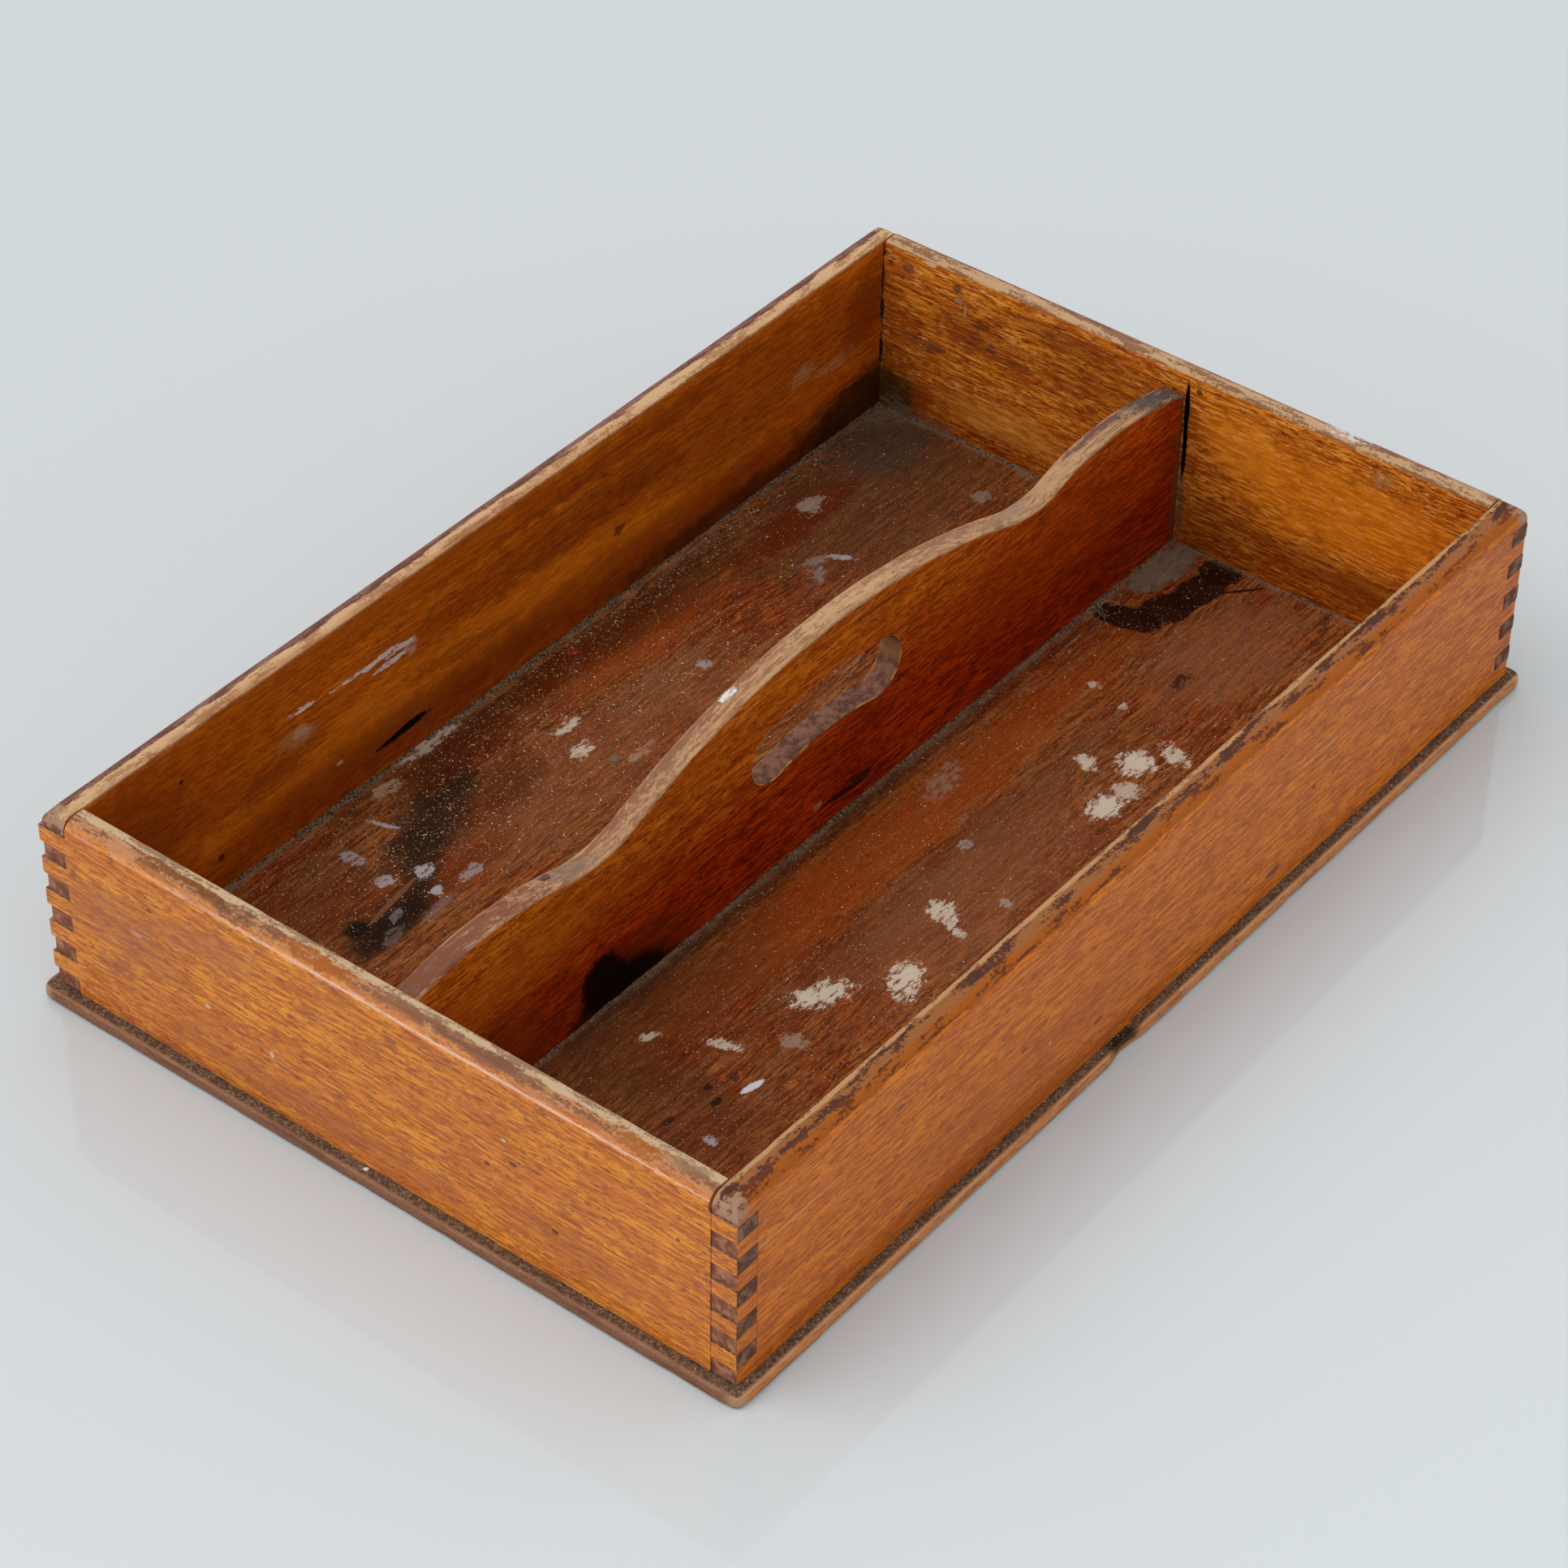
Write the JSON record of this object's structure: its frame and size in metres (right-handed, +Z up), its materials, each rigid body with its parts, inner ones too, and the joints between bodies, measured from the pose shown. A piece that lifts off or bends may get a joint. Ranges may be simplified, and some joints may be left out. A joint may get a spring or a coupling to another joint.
{
  "type": "knife box",
  "caption": "Open finger jointed wooden tray with a ledged base board and a shaped centre divider whose arched hand slot carries it.",
  "frame": {"origin": "middle of the base board's underside", "axes": "+X along the length, away from the near end board; +Y across the width, towards the left long side; +Z up"},
  "size_m": [0.4218, 0.2758, 0.0875],
  "materials": {
    "end_board_wood": "amber stained beech, old satin varnish",
    "long_side_wood": "red-brown stained beech, old satin varnish, worn pale on the rim",
    "divider_wood": "red-brown stained beech, old satin varnish, top edge worn to bare wood",
    "base_board_wood": "dark stained wood, dusty and matt",
    "nail_iron": "old rusted iron cut nail"
  },
  "bodies": {
    "root": {"near_end": "end_board_wood", "far_end": "end_board_wood", "left_side": "long_side_wood", "right_side": "long_side_wood", "divider": "divider_wood", "base_board": "base_board_wood", "side_nails": "nail_iron", "end_nails": "nail_iron", "divider_nails": "nail_iron"}
  },
  "joints": []
}
